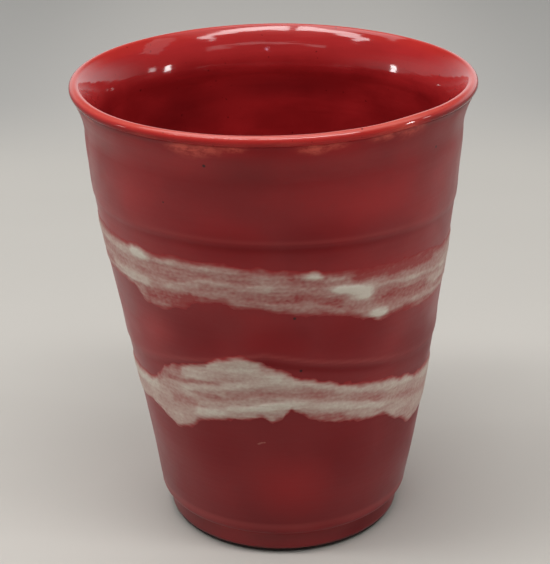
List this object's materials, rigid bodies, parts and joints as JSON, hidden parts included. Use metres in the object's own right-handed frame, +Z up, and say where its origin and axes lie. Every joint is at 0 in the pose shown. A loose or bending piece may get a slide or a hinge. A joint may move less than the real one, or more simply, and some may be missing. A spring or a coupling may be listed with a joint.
{
  "type": "art pottery vase",
  "caption": "Tapered wheel-thrown vase with a set-in foot, rolled lip, glossy red liner, satin red outside and brushed white slip bands",
  "frame": {"origin": "centre of the rim, dropped to the level that the foot ring stands on", "axes": "+Z up along the vase from foot to lip, -Y towards the side shown in the picture, +X to the right of that side"},
  "size_m": [0.1176, 0.1175, 0.14],
  "materials": {
    "clay": "matte",
    "gloss_red_glaze": "gloss",
    "satin_red_glaze": "satin",
    "white_slip": "satin"
  },
  "bodies": {
    "root": {"clay_body": "clay", "liner_glaze": "gloss_red_glaze", "outer_glaze": "satin_red_glaze", "upper_slip_band": "white_slip", "lower_slip_band": "white_slip"}
  },
  "joints": []
}
